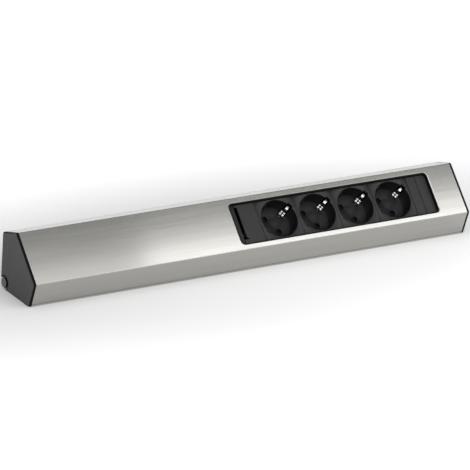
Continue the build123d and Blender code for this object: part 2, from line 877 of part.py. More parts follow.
def make_wires():
    pin_depth = recess + strip_depth + strip_height / 2
    earth_depth = recess + bridge_depth + clip_wall + strip_wall / 2
    supply_wire("wire_neutral", -strip_offset, pin_depth, 0)
    supply_wire("wire_live", strip_offset, pin_depth, 1)
    supply_wire("wire_earth", 0, earth_depth, 2)
    # bond wire: from the earth busbar's left end to the lug on the wall leg
    start = slope_point(earth_start, 0, earth_depth)
    lug_y = wall_y - leg_wall - lug_barrel
    points = [
        start,
        (start[0] - bond_wire_run, start[1], start[2]),
        (barrel_end + bond_wire_run / 2, lug_y, bond_height),
        (barrel_end - wire_insert / 2, lug_y, bond_height),
    ]
    return make_wire("bond_wire", points)


def make_bond_lug():
    barrel = Plane(
        origin=(barrel_end - wire_insert, wall_y - leg_wall - lug_barrel, bond_height),
        x_dir=(0, 1, 0),
        z_dir=(1, 0, 0),
    )
    with BuildPart() as bond_lug:
        with BuildSketch(wall_plane(bond_x, bond_height, leg_wall)):
            with Locations((lug_length / 2 - lug_tail, 0)):
                Rectangle(lug_length, lug_width)
            Circle(bond_radius, mode=Mode.SUBTRACT)
        extrude(amount=lug_wall)
        with BuildSketch(barrel):
            Circle(lug_barrel)
        extrude(amount=wire_insert)
        with BuildSketch(barrel):
            Circle(wire_radius)
        extrude(amount=wire_insert, mode=Mode.SUBTRACT)
    return save(bond_lug, "bond_lug")


def make_bond_screw():
    with BuildPart() as bond_screw:
        with BuildSketch(wall_plane(bond_x, bond_height, screw_short)):
            Circle(bond_radius)
        extrude(amount=leg_wall - screw_short + lug_wall)
        with BuildSketch(wall_plane(bond_x, bond_height, leg_wall + lug_wall)):
            Circle(bond_head)
        extrude(amount=bond_head_height)
        with BuildSketch(wall_plane(bond_x, bond_height, leg_wall + lug_wall + bond_head_height)):
            Rectangle(bond_head, terminal_slot)
            Rectangle(terminal_slot, bond_head)
        extrude(amount=-bond_head_height / 2, mode=Mode.SUBTRACT)
    return save(bond_screw, "bond_screw")


def make_cord_clamp():
    foot_length = 2 * (saddle_screw + saddle_foot)
    with BuildPart() as cord_clamp:
        with BuildSketch(section_plane(clamp_x + clamp_wide / 2)):
            with Locations((clamp_forward, leg_wall)):
                Circle(saddle_bore + saddle_wall)
                Rectangle(foot_length, saddle_wall, align=(Align.CENTER, Align.MIN))
                Circle(saddle_bore, mode=Mode.SUBTRACT)
                Rectangle(envelope, envelope, align=(Align.CENTER, Align.MAX), mode=Mode.SUBTRACT)
        extrude(amount=clamp_wide)
        with BuildSketch(Plane.XY.offset(leg_wall + 2 * saddle_wall)):
            with Locations((clamp_x, wall_y - clamp_forward)):
                with GridLocations(0, 2 * saddle_screw, 1, 2):
                    Circle(saddle_head + collar_play)
        extrude(amount=-saddle_wall, mode=Mode.SUBTRACT)
        with BuildSketch(Plane.XY.offset(leg_wall)):
            with Locations((clamp_x, wall_y - clamp_forward)):
                with GridLocations(0, 2 * saddle_screw, 1, 2):
                    Circle(saddle_screw_radius)
        extrude(amount=saddle_wall, mode=Mode.SUBTRACT)
    return save(cord_clamp, "cord_clamp")


def make_clamp_screws():
    seat = leg_wall + saddle_wall
    with BuildPart() as clamp_screws:
        with BuildSketch(Plane.XY.offset(screw_short)):
            with Locations((clamp_x, wall_y - clamp_forward)):
                with GridLocations(0, 2 * saddle_screw, 1, 2):
                    Circle(saddle_screw_radius)
        extrude(amount=seat - screw_short)
        with BuildSketch(Plane.XY.offset(seat)):
            with Locations((clamp_x, wall_y - clamp_forward)):
                with GridLocations(0, 2 * saddle_screw, 1, 2):
                    Circle(saddle_head)
        extrude(amount=saddle_head_height)
    return save(clamp_screws, "clamp_screws")


make_front_profile()
make_rear_profile()
make_end_cap("end_cap_left", -1)
make_end_cap("end_cap_right", 1)
make_outlet_fitting("outlet_plug", -1, 0)
make_outlet_fitting("cord_gland", 1, gland_bore)
make_module_carrier()
make_blank_left()
make_blank("spacer_blank", sockets_end, spacer_width)
make_blank("blank_module_right", sockets_end + spacer_width, blank_right_width, round_end=-1)
for number, centre_x in enumerate(socket_centres, start=1):
    make_socket(number, centre_x)
    make_socket_base(number, centre_x)
    make_earth_clip(number, centre_x)
    make_shutter(number, centre_x)
    make_shutter_spring(number, centre_x)
make_module_screws()
make_pin_busbar("busbar_live", 1)
make_pin_busbar("busbar_neutral", -1)
make_earth_busbar()
make_terminal_block()
make_terminal_clamps()
make_terminal_screws()
make_wires()
make_bond_lug()
make_bond_screw()
make_cord_clamp()
make_clamp_screws()
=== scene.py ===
import json
import math

import bmesh
import bpy
from mathutils import Matrix, Vector


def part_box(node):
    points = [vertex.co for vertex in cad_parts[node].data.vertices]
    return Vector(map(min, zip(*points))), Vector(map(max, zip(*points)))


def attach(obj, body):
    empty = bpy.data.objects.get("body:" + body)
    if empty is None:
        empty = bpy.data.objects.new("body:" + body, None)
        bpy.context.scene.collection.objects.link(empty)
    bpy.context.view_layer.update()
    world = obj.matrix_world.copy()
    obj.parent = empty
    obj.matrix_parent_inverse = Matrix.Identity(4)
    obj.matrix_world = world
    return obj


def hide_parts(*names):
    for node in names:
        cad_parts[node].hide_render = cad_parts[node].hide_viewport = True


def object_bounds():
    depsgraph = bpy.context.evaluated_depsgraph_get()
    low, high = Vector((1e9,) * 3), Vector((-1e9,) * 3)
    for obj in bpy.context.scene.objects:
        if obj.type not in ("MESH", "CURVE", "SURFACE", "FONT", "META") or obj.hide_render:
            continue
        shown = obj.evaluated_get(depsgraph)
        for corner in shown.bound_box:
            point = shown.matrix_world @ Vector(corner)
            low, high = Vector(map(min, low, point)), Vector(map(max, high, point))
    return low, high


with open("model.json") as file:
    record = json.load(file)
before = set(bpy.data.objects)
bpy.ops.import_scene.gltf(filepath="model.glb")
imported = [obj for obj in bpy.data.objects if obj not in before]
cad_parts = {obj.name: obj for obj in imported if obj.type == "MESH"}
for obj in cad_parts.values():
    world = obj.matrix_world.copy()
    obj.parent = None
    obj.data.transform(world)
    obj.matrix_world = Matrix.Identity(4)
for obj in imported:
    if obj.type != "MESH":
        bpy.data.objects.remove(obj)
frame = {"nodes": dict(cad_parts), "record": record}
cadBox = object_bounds()
nodes = frame["nodes"]
mm = 0.001
half = math.sqrt(0.5)
slope = Vector((0, -half, half))  # out of the sloping main face
socketCount = 4
mounts = {mount["name"]: mount for mount in frame["record"]["mounts"]}
print("frame loaded:", len(nodes), "nodes")


# ---- camera, light and floor

camera = {
    "place": (-2.16856, -3.37815, 1.60009),
    "right": (0.85321871, -0.51810251, 0.05989678),
    "down": (-0.14213776, -0.34148334, -0.92907803),
    "lens": 340.5,
}

# two narrow bars close to the main face make its gradient; the rest are large and soft
lights = {
    "face": {
        "place": (0.125, -0.155, 0.205),
        "target": (0.125, -0.0127, 0.0447),
        "size": (0.95, 0.1),
        "power": 0.42,
    },
    "faceRight": {
        "place": (0.25, -0.137, 0.226),
        "target": (0.25, -0.0127, 0.0447),
        "size": (0.5, 0.05),
        "power": 0.13,
    },
    "front": {"place": (0.75, -1.15, 0.55), "target": (0, 0, 0.03), "size": (1.2, 0.5), "power": 3.4},
    "camera": {"place": (-0.62, -1.25, 0.45), "target": (0.1, 0, 0.045), "size": (0.6, 0.45), "power": 2.6},
    "left": {"place": (-1.0, -0.24, 0.95), "target": (0.1, 0, 0.045), "size": (0.6, 0.6), "power": 2.0},
    "back": {"place": (1.0, 1.6, 0.8), "target": (0, 0, 0.045), "size": (1.8, 0.8), "power": 5.0},
    "above": {"place": (-0.3, 0.3, 2.6), "target": (0, 0, 0), "size": (2.2, 2.2), "power": 9.0},
}

worldGlow = 0.40

# the floor glows like a light table, more from near to far: painted light, which leaves a dim patch of
# painted shadow round the strip
floorLook = {
    "near": 0.09,
    "far": 0.38,
    "glow": 0.65,
    "squash": (0.45, 1, 1),  # the dim patch of painted shadow is longer along the strip
    "grain": (3, 3, 3),
    "shade": (0.995, 1.005),
    "reach": 12,
}


def makeCamera():
    data = bpy.data.cameras.new("camera")
    data.lens = camera["lens"]
    data.sensor_width = 36
    data.clip_end = 50
    right = Vector(camera["right"])
    up = -Vector(camera["down"])
    back = right.cross(up)
    turn = Matrix((right, up, back)).transposed()
    body = bpy.data.objects.new("camera", data)
    body.matrix_world = Matrix.Translation(camera["place"]) @ turn.to_4x4()
    bpy.context.scene.collection.objects.link(body)
    bpy.context.scene.camera = body


def makeLight(name, setting):
    data = bpy.data.lights.new(name, "AREA")
    data.shape = "RECTANGLE"
    data.size, data.size_y = setting["size"]
    data.energy = setting["power"]
    lamp = bpy.data.objects.new(name, data)
    lamp.location = setting["place"]
    aim = Vector(setting["target"]) - Vector(setting["place"])
    lamp.rotation_euler = aim.to_track_quat("-Z", "Y").to_euler()
    lamp.visible_camera = False
    bpy.context.scene.collection.objects.link(lamp)


def makeWorld():
    world = bpy.data.worlds.new("studio")
    world.use_nodes = True
    background = world.node_tree.nodes["Background"]
    background.inputs["Color"].default_value = (1, 1, 1, 1)
    background.inputs["Strength"].default_value = worldGlow
    bpy.context.scene.world = world


# ---- finishes

noiseMiddle = (0.3, 0.7)  # where nearly all of a noise's values lie


class Finish:
    # one node material, built from a principled shader and the textures chained to it
    def __init__(self, name, colour, roughness, metallic=0.0):
        self.material = bpy.data.materials.new(name)
        self.material.use_nodes = True
        self.tree = self.material.node_tree
        self.shader = self.tree.nodes["Principled BSDF"]
        self.shader.inputs["Base Color"].default_value = (*colour, 1)
        self.shader.inputs["Roughness"].default_value = roughness
        self.shader.inputs["Metallic"].default_value = metallic
        self.colour = colour
        self.lastNormal = None

    def node(self, kind, **inputs):
        made = self.tree.nodes.new(kind)
        for key, value in inputs.items():
            made.inputs[key.replace("_", " ")].default_value = value
        return made

    def link(self, source, target):
        self.tree.links.new(source, target)

    def noise(self, stretch, detail=3.0, rough=0.5):
        # stretch is how many grains there are in a metre, along X, Y and Z
        place = self.node("ShaderNodeTexCoord")
        mapping = self.node("ShaderNodeMapping")
        mapping.inputs["Scale"].default_value = stretch
        grain = self.node("ShaderNodeTexNoise", Scale=1.0, Detail=detail, Roughness=rough)
        self.link(place.outputs["Object"], mapping.inputs["Vector"])
        self.link(mapping.outputs["Vector"], grain.inputs["Vector"])
        return grain.outputs["Fac"]

    def spread(self, value, low, high):
        # the middle of a noise drawn out to the range low..high
        ranged = self.node("ShaderNodeMapRange")
        ranged.inputs["From Min"].default_value = noiseMiddle[0]
        ranged.inputs["From Max"].default_value = noiseMiddle[1]
        ranged.inputs["To Min"].default_value = low
        ranged.inputs["To Max"].default_value = high
        self.link(value, ranged.inputs["Value"])
        return ranged.outputs["Result"]

    def varyColour(self, value, low, high):
        # the base colour times a factor that the noise moves between low and high
        mix = self.node("ShaderNodeMix")
        mix.data_type = "RGBA"
        mix.inputs["A"].default_value = (*[c * low for c in self.colour], 1)
        mix.inputs["B"].default_value = (*[c * high for c in self.colour], 1)
        self.link(self.spread(value, 0, 1), mix.inputs["Factor"])
        self.link(mix.outputs["Result"], self.shader.inputs["Base Color"])

    def varyRoughness(self, value, low, high):
        self.link(self.spread(value, low, high), self.shader.inputs["Roughness"])

    def bump(self, value, height, strength=1.0):
        raised = self.node("ShaderNodeBump", Strength=strength, Distance=height)
        self.link(value, raised.inputs["Height"])
        if self.lastNormal:
            self.link(self.lastNormal, raised.inputs["Normal"])
        self.lastNormal = raised.outputs["Normal"]
        self.link(self.lastNormal, self.shader.inputs["Normal"])


brushedLook = {
    "colour": (0.42, 0.415, 0.395),
    "roughness": (0.19, 0.27),
    "lines": (18, 2600, 2600),  # fine brush marks along the strip, per metre
    "bands": (2.5, 240, 240),  # broader, fainter ones
    "shade": (0.97, 1.03),
    "lineDepth": 0.00001,
    "lineStrength": 0.35,
    "stretch": 0.5,  # of the highlights, across the brush lines
}


def brushedAluminium():
    look = brushedLook
    made = Finish("brushedAluminium", look["colour"], look["roughness"][1], 1.0)
    lines = made.noise(look["lines"], detail=4, rough=0.6)
    bands = made.noise(look["bands"], detail=3)
    made.varyColour(bands, *look["shade"])
    made.varyRoughness(lines, *look["roughness"])
    made.bump(lines, look["lineDepth"], look["lineStrength"])
    made.shader.inputs["Anisotropic"].default_value = look["stretch"]
    tangent = made.node("ShaderNodeTangent")
    tangent.direction_type = "RADIAL"
    tangent.axis = "X"
    made.link(tangent.outputs["Tangent"], made.shader.inputs["Tangent"])
    return made.material


plasticLook = {
    "flow": (35, 60, 60),
    "shade": (0.93, 1.07),
    "rough": (-0.06, 0.08),  # added to the roughness
    "grainDepth": 0.00002,
    "grainStrength": 0.4,
}


def mouldedPlastic(name, colour, roughness, grain=2200, shine=0.5):
    # an eroded mould's fine grain, with slight flow marks in the colour
    made = Finish(name, colour, roughness)
    made.shader.inputs["Specular IOR Level"].default_value = shine
    look = plasticLook
    fine = made.noise((grain, grain, grain), detail=2)
    flow = made.noise(look["flow"], detail=3)
    made.varyColour(flow, *look["shade"])
    made.varyRoughness(fine, *[roughness + more for more in look["rough"]])
    made.bump(fine, look["grainDepth"], look["grainStrength"])
    return made.material


platedLook = {
    "marks": (300, 300, 2500),
    "tarnish": (90, 90, 90),
    "shade": (0.88, 1.06),
    "rough": (0.7, 1.4),  # times the roughness
    "markDepth": 0.00001,
    "markStrength": 0.3,
}


def platedMetal(name, colour, roughness):
    look = platedLook
    made = Finish(name, colour, roughness, 1.0)
    marks = made.noise(look["marks"], detail=4, rough=0.65)
    tarnish = made.noise(look["tarnish"], detail=3)
    made.varyColour(tarnish, *look["shade"])
    made.varyRoughness(marks, *[roughness * times for times in look["rough"]])
    made.bump(marks, look["markDepth"], look["markStrength"])
    return made.material


def floorPaper():
    made = Finish("floorPaper", (0.9, 0.9, 0.9), 0.9)
    made.varyColour(made.noise(floorLook["grain"]), *floorLook["shade"])
    place = made.node("ShaderNodeTexCoord")
    squash = made.node("ShaderNodeMapping")
    squash.inputs["Scale"].default_value = floorLook["squash"]
    reach = made.node("ShaderNodeVectorMath")
    reach.operation = "LENGTH"
    # emission rising with distance from the strip: painted light, with painted shadow left near the strip
    glow = made.node("ShaderNodeMapRange")
    glow.interpolation_type = "SMOOTHSTEP"
    glow.inputs["From Min"].default_value = floorLook["near"]
    glow.inputs["From Max"].default_value = floorLook["far"]
    glow.inputs["To Max"].default_value = floorLook["glow"]
    made.link(place.outputs["Object"], squash.inputs["Vector"])
    made.link(squash.outputs["Vector"], reach.inputs[0])
    made.link(reach.outputs["Value"], glow.inputs["Value"])
    made.shader.inputs["Emission Color"].default_value = (1, 1, 1, 1)
    made.link(glow.outputs["Result"], made.shader.inputs["Emission Strength"])
    return made.material


wireLook = {
    "roughness": 0.4,
    "wave": 110.0,
    "waver": 0.6,
    "stripeStart": 0.62,  # the rest of each wave is stripe
    "grain": (900, 900, 900),
    "grainDepth": 0.00002,
    "grainStrength": 0.3,
}


def stripedWire(name, colour, stripe):
    # insulation with a second colour wound slowly along it
    look = wireLook
    made = Finish(name, colour, look["roughness"])
    place = made.node("ShaderNodeTexCoord")
    wave = made.node("ShaderNodeTexWave", Scale=look["wave"], Distortion=look["waver"])
    made.link(place.outputs["Object"], wave.inputs["Vector"])
    ramp = made.node("ShaderNodeValToRGB")
    ramp.color_ramp.interpolation = "CONSTANT"
    ramp.color_ramp.elements[0].color = (*colour, 1)
    ramp.color_ramp.elements[1].color = (*stripe, 1)
    ramp.color_ramp.elements[1].position = look["stripeStart"]
    made.link(wave.outputs["Fac"], ramp.inputs["Fac"])
    made.link(ramp.outputs["Color"], made.shader.inputs["Base Color"])
    made.bump(made.noise(look["grain"]), look["grainDepth"], look["grainStrength"])
    return made.material


finishes = {
    "aluminium": brushedAluminium(),
    "capFace": mouldedPlastic("capFace", (0.053, 0.053, 0.053), 0.62, grain=1500),
    "paintedShadeBlack": mouldedPlastic("paintedShadeBlack", (0.004, 0.004, 0.004), 0.6, shine=0.06),
    "fitting": mouldedPlastic("fitting", (0.10, 0.10, 0.10), 0.5),
    "lining": mouldedPlastic("lining", (0.003, 0.003, 0.003), 0.4, shine=0.2),
    "plate": mouldedPlastic("plate", (0.018, 0.018, 0.0185), 0.5, grain=1800, shine=0.3),
    "platePaintedShade": mouldedPlastic("platePaintedShade", (0.009, 0.009, 0.0085), 0.45, shine=0.25),
    "cupFloorPaintedShade": mouldedPlastic("cupFloorPaintedShade", (0.011, 0.011, 0.0115), 0.5, grain=2000, shine=0.22),
    "cupWallPaintedShade": mouldedPlastic("cupWallPaintedShade", (0.003, 0.003, 0.003), 0.45, grain=2600, shine=0.12),
    "base": mouldedPlastic("base", (0.02, 0.02, 0.02), 0.5),
    # shutters near-black, painted shade so the pin holes read dark
    "shutter": mouldedPlastic("shutter", (0.004, 0.004, 0.004), 0.5, shine=0.1),
    "terminal": mouldedPlastic("terminal", (0.62, 0.60, 0.54), 0.45),
    "nickel": platedMetal("nickel", (0.72, 0.70, 0.67), 0.24),
    "zinc": platedMetal("zinc", (0.62, 0.64, 0.67), 0.3),
    "spring": platedMetal("spring", (0.50, 0.50, 0.51), 0.3),
    "brass": platedMetal("brass", (0.78, 0.57, 0.26), 0.3),
    "tin": platedMetal("tin", (0.66, 0.64, 0.60), 0.35),
    "brownWire": mouldedPlastic("brownWire", (0.10, 0.035, 0.015), 0.4, grain=900),
    "blueWire": mouldedPlastic("blueWire", (0.02, 0.09, 0.40), 0.4, grain=900),
    "earthWire": stripedWire("earthWire", (0.06, 0.27, 0.03), (0.75, 0.62, 0.04)),
}
print("finishes:", len(finishes))

# finish of every part that is shown as it comes
nodeFinish = {
    "front_profile": "aluminium",
    "rear_profile": "aluminium",
    "module_carrier": "lining",
    "cord_clamp": "fitting",
    "busbar_live": "brass",
    "busbar_neutral": "brass",
    "busbar_earth": "brass",
    "terminal_block": "terminal",
    "terminal_clamps": "brass",
    "wire_live": "brownWire",
    "wire_neutral": "blueWire",
    "wire_earth": "earthWire",
    "bond_wire": "earthWire",
    "bond_lug": "tin",
}
for number in range(1, socketCount + 1):
    nodeFinish[f"socket_base_{number}"] = "base"
    nodeFinish[f"shutter_{number}"] = "shutter"


def dressNodes():
    for name, finish in nodeFinish.items():
        data = nodes[name].data
        data.materials.clear()
        data.materials.append(finishes[finish])
    print("parts shown as they come:", len(nodeFinish))


# ---- shared helpers for the pieces

up = Vector((0, half, half))  # up the sloping face, across the strip
along = Vector((1, 0, 0))


def newPiece(name, mesh, body, slotName, *replaced):
    piece = bpy.data.objects.new(name, mesh)
    bpy.context.scene.collection.objects.link(piece)
    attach(piece, body)
    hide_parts(*replaced)
    return piece


edgeLook = {"segments": 2, "softAngle": 38, "smoothAngle": 32, "weld": 0.000002, "flatAngle": 0.5}


def softenEdges(piece, width, angle=edgeLook["softAngle"]):
    bevel = piece.modifiers.new("softEdges", "BEVEL")
    bevel.width = width
    bevel.segments = edgeLook["segments"]
    bevel.limit_method = "ANGLE"
    bevel.angle_limit = math.radians(angle)
    bevel.harden_normals = True


def smoothFaces(mesh, angle=edgeLook["smoothAngle"]):
    for face in mesh.polygons:
        face.use_smooth = True
    mesh.set_sharp_from_angle(angle=math.radians(angle))


def weldedCopy(source, name, wholeFaces=True):
    # the node's triangles welded, and its flat faces made whole again where edges get softened
    mesh = nodes[source].data.copy()
    mesh.name = name
    mesh.materials.clear()
    shape = bmesh.new()
    shape.from_mesh(mesh)
    bmesh.ops.remove_doubles(shape, verts=shape.verts, dist=edgeLook["weld"])
    if wholeFaces:
        flat = math.radians(edgeLook["flatAngle"])
        bmesh.ops.dissolve_limit(shape, angle_limit=flat, verts=shape.verts, edges=shape.edges)
    shape.to_mesh(mesh)
    shape.free()
    return mesh


def addBox(mesh, middle, axes, sizes, slotIndex):
    # a closed block along three given axes, joined to the mesh
    shape = bmesh.new()
    shape.from_mesh(mesh)
    known = len(shape.faces)
    turn = Matrix(axes).transposed().to_4x4()
    scale = Matrix.Diagonal((*sizes, 1))
    bmesh.ops.create_cube(shape, size=1, matrix=Matrix.Translation(middle) @ turn @ scale)
    shape.faces.ensure_lookup_table()
    for face in shape.faces[known:]:
        face.material_index = slotIndex
    shape.to_mesh(mesh)
    shape.free()


def dressFaces(mesh, finishNames, choose):
    for finish in finishNames:
        mesh.materials.append(finishes[finish])
    for face in mesh.polygons:
        face.material_index = choose(face.center, face.normal)


# ---- end caps: grained faces, and near-black rims that are painted shade

capLook = {"edge": 0.00015, "rimNormal": 0.9, "rim": 0.0006, "flush": 0.00001}


def insetOuterFace(mesh):
    # a ring of faces round the cap's outer face; returns their numbers
    shape = bmesh.new()
    shape.from_mesh(mesh)
    outer = max(abs(vertex.co.x) for vertex in shape.verts) - capLook["flush"]
    outerFaces = [face for face in shape.faces if abs(face.calc_center_median().x) > outer]
    ring = bmesh.ops.inset_region(shape, faces=outerFaces, thickness=capLook["rim"])["faces"]
    shape.faces.index_update()
    numbers = [face.index for face in ring]
    shape.to_mesh(mesh)
    shape.free()
    return numbers


def makeEndCap(side):
    mesh = weldedCopy(f"end_cap_{side}", f"endCap_{side}")
    # a thin ring round the outer face, later painted near-black: a painted shade line along the cap's edge
    ring = insetOuterFace(mesh)

    # faces turned away from the cap's outer side take the near-black finish: painted shade on the cap's rim
    def choose(centre, normal):
        return 0 if abs(normal.x) > capLook["rimNormal"] else 1

    dressFaces(mesh, ("capFace", "paintedShadeBlack"), choose)
    for number in ring:
        mesh.polygons[number].material_index = 1
    smoothFaces(mesh)
    piece = newPiece(f"endCap_{side}", mesh, "housing", "cap_plastic", f"end_cap_{side}")
    softenEdges(piece, capLook["edge"])


# ---- outlet plug and cord gland

fittingLook = {"edge": 0.00015, "headDepth": 0.0034, "headNormal": 0.5}


def makeFitting(source, name):
    mesh = weldedCopy(source, name)
    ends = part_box(source)
    side = 1 if ends[0].x > 0 else -1
    head = ends[1].x if side > 0 else -ends[0].x

    # the head's face keeps the plastic's grey; all other faces take the near-black finish, painted shade
    # round and behind the head
    def choose(centre, normal):
        facing = abs(normal.x) > fittingLook["headNormal"]
        return 0 if facing and head - side * centre.x < fittingLook["headDepth"] else 1

    dressFaces(mesh, ("fitting", "paintedShadeBlack"), choose)
    smoothFaces(mesh)
    piece = newPiece(name, mesh, "housing", "fitting_plastic", source)
    softenEdges(piece, fittingLook["edge"])


# ---- sockets: plate, cup and the bar across the earth contact's legs; cup floor, cup wall and bar are painted darker than the plate, as shade

socketLook = {
    "cupRadius": 0.0197,
    "rimDepth": 0.0004,
    "floorDepth": 0.0170,
    "turn": math.radians(35),  # of the earth contacts' line, from the strip
    "barRadius": 0.0169,
    "barDepth": 0.0144,
    "barSize": (0.0056, 0.0010, 0.0007),
    "barLean": (-0.6, 0.8),  # the bar lies on the legs' slope: its normal, outwards and up
    "floorNormal": 0.5,
}


def socketAxes():
    # the line of the earth contacts, and the line of the pins
    line = along * math.cos(socketLook["turn"]) + up * math.sin(socketLook["turn"])
    return line, slope.cross(line)


def makeSocket(number):
    middle = Vector(mounts[f"socket_{number}"]["pos_m"])
    mesh = weldedCopy(f"socket_{number}", f"socketFront_{number}", wholeFaces=False)

    # the plate keeps the plastic's tone; the cup floor is painted darker and the cup wall near-black, painted
    # shade inside the cup of one plastic
    def choose(centre, normal):
        offset = centre - middle
        depth = -offset.dot(slope)
        radius = (offset + slope * depth).length
        if radius > socketLook["cupRadius"] or depth < socketLook["rimDepth"]:
            return 0
        level = normal.dot(slope) > socketLook["floorNormal"]
        return 1 if depth > socketLook["floorDepth"] and level else 2

    dressFaces(mesh, ("plate", "cupFloorPaintedShade", "cupWallPaintedShade"), choose)
    line, pins = socketAxes()
    lean = Vector(socketLook["barLean"])
    # a near-black bar laid across each earth contact's legs: painted shade, the dark stroke across them
    for side in (-1, 1):
        outward = line * side
        facing = outward * lean.x + slope * lean.y
        place = middle + outward * socketLook["barRadius"] - slope * socketLook["barDepth"]
        addBox(mesh, place, (pins, pins.cross(facing), facing), socketLook["barSize"], 2)
    smoothFaces(mesh)
    newPiece(f"socketFront_{number}", mesh, "housing", "module_plastic", f"socket_{number}")


# ---- earth contacts: one bent strip per socket, with a narrow tongue and two slanting legs on each side

contactLook = {
    "path": [  # radius from the socket's middle, depth below its plate, half width, in millimetres
        (20.0, 3.4, 1.3), (19.9, 4.1, 1.3), (19.3, 4.9, 1.3), (18.2, 5.75, 1.3), (17.6, 6.3, 1.3),
        (17.55, 6.9, 1.3), (18.2, 8.2, 1.3), (19.0, 9.8, 1.6), (19.15, 11.5, 2.5), (19.1, 13.1, 2.5),
        (18.7, 13.9, 2.5), (17.3, 14.95, 2.5), (15.9, 16.0, 2.5), (15.45, 16.8, 2.5), (15.4, 18.5, 2.5),
        (15.4, 29.4, 2.5), (15.1, 30.2, 2.5), (14.2, 30.5, 2.5),
    ],
    "slit": 0.45,  # half the gap between the legs
    "slitRows": (9, 14),
    "wall": 0.0006,
    "edge": 0.0001,
    "edgeAngle": 50,
    "smoothAngle": 60,
}


def makeEarthContact(number):
    middle = Vector(mounts[f"socket_{number}"]["pos_m"])
    line, pins = socketAxes()
    rows = list(contactLook["path"])
    rows += [(-radius, depth, width) for radius, depth, width in reversed(rows)]
    shape = bmesh.new()
    grid = []
    for radius, depth, width in rows:
        across = (-width, -contactLook["slit"], contactLook["slit"], width)
        base = middle + line * radius * mm - slope * depth * mm
        grid.append([shape.verts.new(base + pins * place * mm) for place in across])
    low, high = contactLook["slitRows"]
    last = len(rows) - 1
    for row in range(last):
        slit = low <= row < high or low <= last - 1 - row < high
        here, beyond = grid[row], grid[row + 1]
        for column in (0, 2) if slit else (0, 1, 2):
            shape.faces.new((here[column], here[column + 1], beyond[column + 1], beyond[column]))
    bmesh.ops.recalc_face_normals(shape, faces=shape.faces)
    name = f"earthContact_{number}"
    mesh = bpy.data.meshes.new(name)
    shape.to_mesh(mesh)
    shape.free()
    mesh.materials.append(finishes["nickel"])
    smoothFaces(mesh, contactLook["smoothAngle"])
    piece = newPiece(name, mesh, "housing", "nickel_plate", f"earth_clip_{number}")
    wall = piece.modifiers.new("wall", "SOLIDIFY")
    wall.thickness = contactLook["wall"]
    wall.offset = 0
    softenEdges(piece, contactLook["edge"], contactLook["edgeAngle"])


# ---- blank plates

blankLook = {"edge": 0.00012, "stepDepth": 0.0006, "stepWidth": 0.0090}  # the step is on the left blank only


def makeBlank(source, name):
    mesh = weldedCopy(source, name)
    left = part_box(source)[0].x
    top = Vector(mounts["socket_1"]["pos_m"])
    stepped = source == "blank_module_left"

    # the left blank's sunk step near its left end takes a darker copy of the plate: painted shade
    def choose(centre, normal):
        sunk = -(centre - top).dot(slope) > blankLook["stepDepth"]
        return 1 if stepped and sunk and centre.x - left < blankLook["stepWidth"] else 0

    dressFaces(mesh, ("plate", "platePaintedShade"), choose)
    smoothFaces(mesh)
    piece = newPiece(name, mesh, "housing", "module_plastic", source)
    softenEdges(piece, blankLook["edge"])


# ---- screws and springs, grown from node trees

class Tree:
    # a geometry node tree with named inputs for its sizes
    def __init__(self, name, sizes):
        self.group = bpy.data.node_groups.new(name, "GeometryNodeTree")
        kinds = {"Places": "Geometry"}
        kinds.update((size, "Float") for size in sizes)
        kinds.update({"Turn": "Rotation", "Finish": "Material"})
        for label, kind in kinds.items():
            self.group.interface.new_socket(label, in_out="INPUT", socket_type="NodeSocket" + kind)
        self.group.interface.new_socket("Geometry", in_out="OUTPUT", socket_type="NodeSocketGeometry")
        self.entry = self.group.nodes.new("NodeGroupInput").outputs
        self.exit = self.group.nodes.new("NodeGroupOutput").inputs

    def put(self, socket, value):
        if isinstance(value, bpy.types.NodeSocket):
            self.group.links.new(value, socket)
        else:
            socket.default_value = value

    def add(self, kind, inputs, **settings):
        made = self.group.nodes.new(kind)
        for key, value in settings.items():
            setattr(made, key, value)
        for key, value in inputs.items():
            self.put(made.inputs[key], value)
        return made.outputs[0]

    def maths(self, operation, first, second):
        return self.add("ShaderNodeMath", {0: first, 1: second}, operation=operation)

    def times(self, value, factor):
        return self.maths("MULTIPLY", value, factor)

    def vector(self, x=0.0, y=0.0, z=0.0):
        return self.add("ShaderNodeCombineXYZ", {"X": x, "Y": y, "Z": z})

    def moved(self, shape, z):
        return self.add("GeometryNodeTransform", {"Geometry": shape, "Translation": self.vector(z=z)})

    def joined(self, *shapes):
        join = self.group.nodes.new("GeometryNodeJoinGeometry")
        for shape in shapes:
            self.put(join.inputs[0], shape)
        return join.outputs[0]

    def without(self, shape, *cutters):
        cut = self.group.nodes.new("GeometryNodeMeshBoolean")
        cut.operation = "DIFFERENCE"
        cut.solver = "EXACT"
        self.put(cut.inputs["Mesh 1"], shape)
        for cutter in cutters:
            self.put(cut.inputs["Mesh 2"], cutter)
        return cut.outputs[0]

    def close(self, shape):
        # one copy at every place, made real and given its finish
        entry = self.entry
        spots = {"Points": entry["Places"], "Instance": shape, "Rotation": entry["Turn"]}
        copies = self.add("GeometryNodeInstanceOnPoints", spots)
        real = self.add("GeometryNodeRealizeInstances", {"Geometry": copies})
        dressed = self.add("GeometryNodeSetMaterial", {"Geometry": real, "Material": entry["Finish"]})
        self.put(self.exit[0], dressed)


screwSizes = ("Shank Radius", "Shank Length", "Head Radius", "Head Height", "Recess Width", "Pitch", "Cross")
screwShape = {
    "shankSides": 20,
    "headSides": 32,
    "threadSteps": 18,  # in each turn
    "threadStart": 0.12,  # shares of the shank's length
    "threadRun": 0.8,
    "ridge": 0.22,  # share of the pitch
    "headTaper": 0.82,
    "slotReach": 1.2,  # share of the head's radius
    "leastSlot": 0.0001,
}


